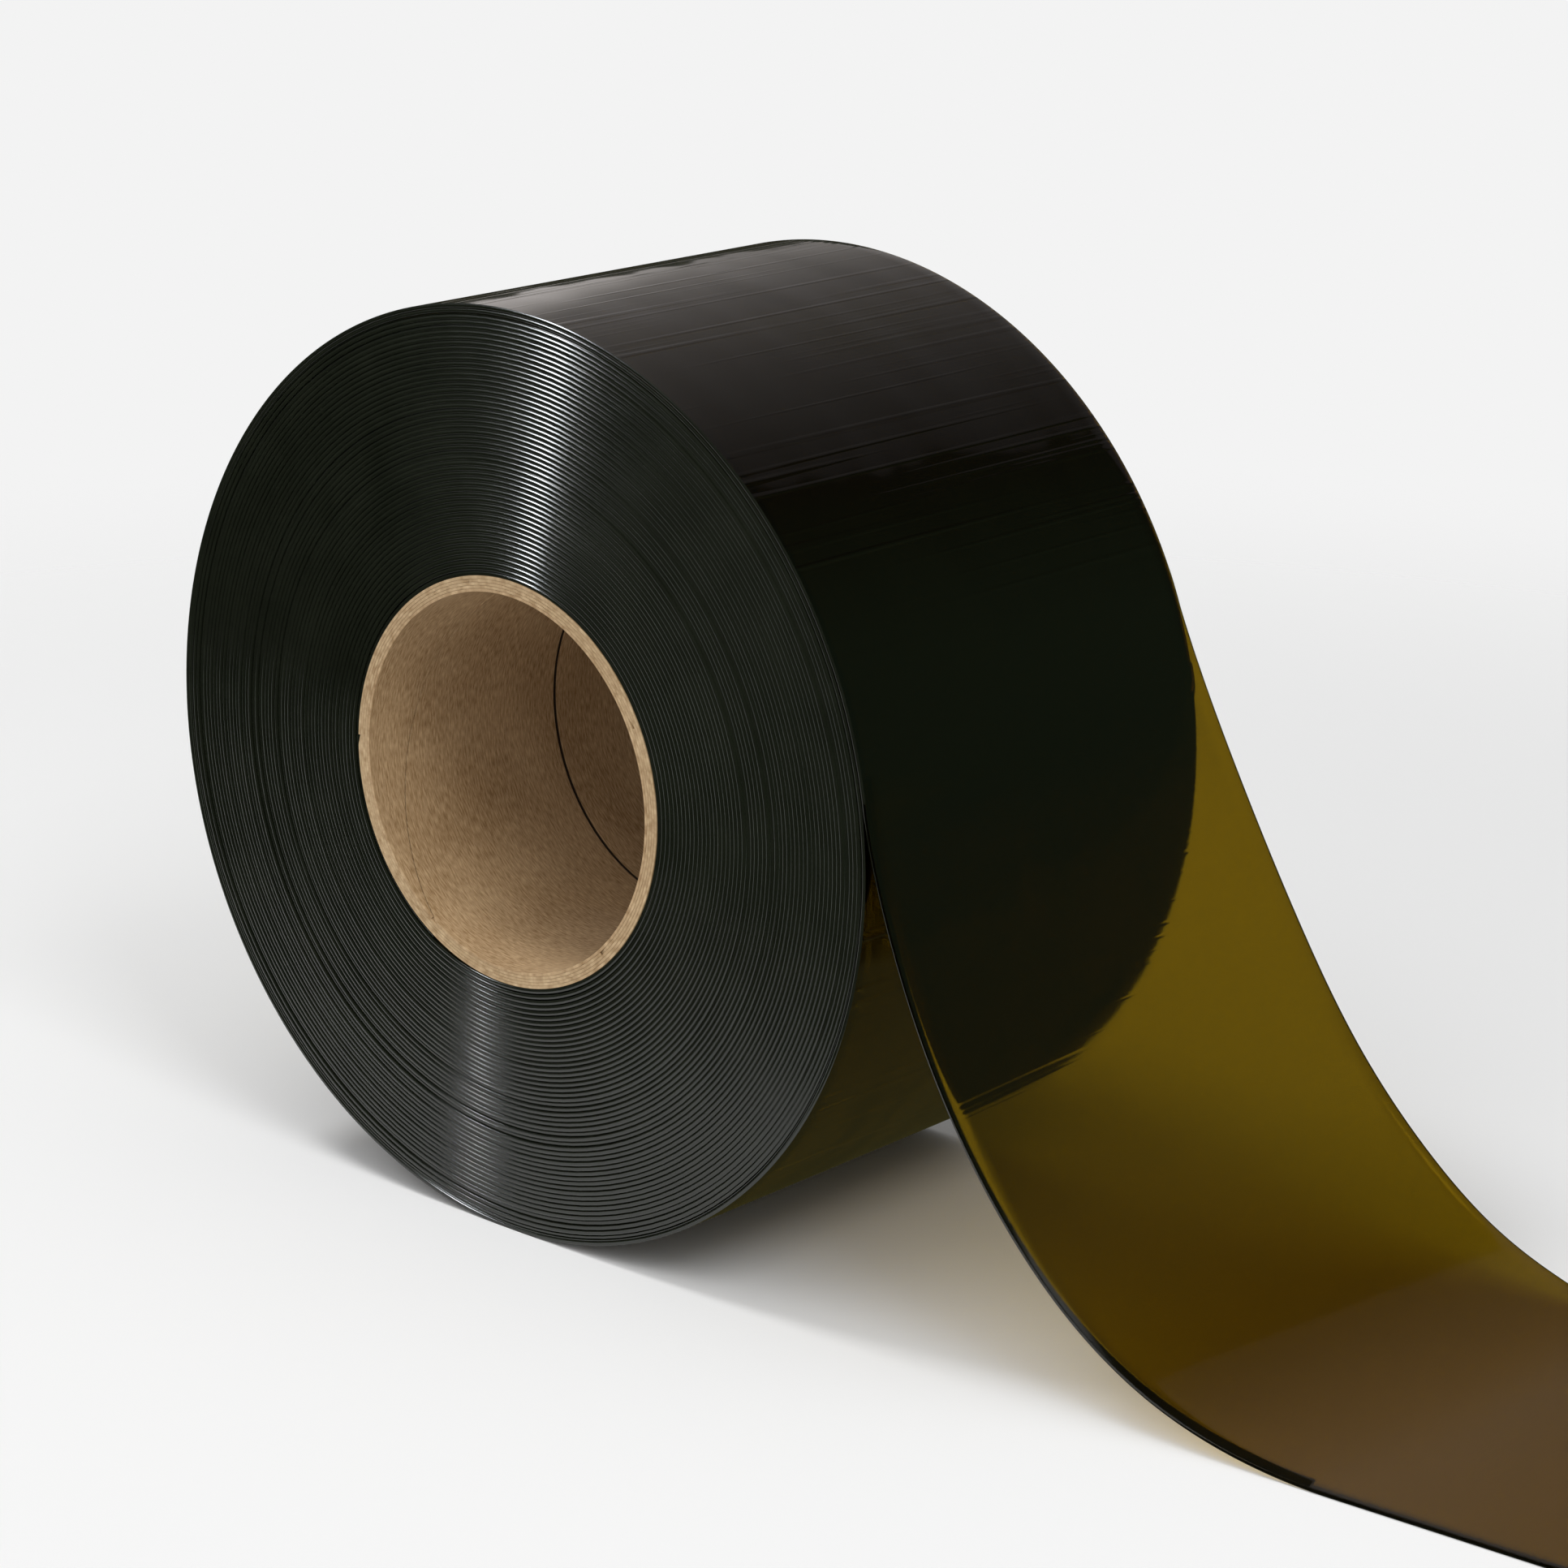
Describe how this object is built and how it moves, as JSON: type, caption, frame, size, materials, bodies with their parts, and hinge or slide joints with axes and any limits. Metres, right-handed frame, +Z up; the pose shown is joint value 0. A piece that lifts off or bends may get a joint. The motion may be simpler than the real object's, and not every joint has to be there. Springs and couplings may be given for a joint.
{
  "type": "roll of tinted flexible plastic strip",
  "caption": "Roll of translucent olive plastic strip wound on a paperboard core, lying on its round side with its free end run out flat.",
  "frame": {"origin": "on the floor, where the roll rests, under the middle of its axis", "axes": "+Y along the roll's axis towards its rear end face, +X the way the free end runs out, +Z up"},
  "size_m": [0.7036, 0.2285, 0.375],
  "materials": {
    "core_liner_board": "raw kraft paperboard with a helical seam",
    "core_board": "raw kraft paperboard, cut end",
    "wound_strip": "glossy tinted flexible PVC, near black where wound",
    "single_strip": "glossy translucent olive flexible PVC, single layer"
  },
  "bodies": {
    "outer_turn_body": {"outer_turn": "wound_strip"},
    "roll": {"front_core_liner": "core_liner_board", "front_core_ply_1": "core_board", "front_core_ply_2": "core_board", "front_core_ply_3": "core_board", "front_core_wrap": "core_board", "rear_core_liner": "core_liner_board", "rear_core_ply_1": "core_board", "rear_core_ply_2": "core_board", "rear_core_ply_3": "core_board", "rear_core_wrap": "core_board", "wound_strip": "wound_strip"},
    "run_out": {"free_end": "single_strip"}
  },
  "joints": [
    {"name": "roll_spin", "type": "hinge", "parent": "outer_turn_body", "child": "roll", "pos_m": [0, 0, 0.18683], "axis": [0, 1, 0], "continuous": true},
    {"name": "free_end_lift", "type": "hinge", "parent": "outer_turn_body", "child": "run_out", "pos_m": [0.1722, 0, 0.2635], "axis": [0, -1, 0], "range_deg": [0, 35]}
  ]
}
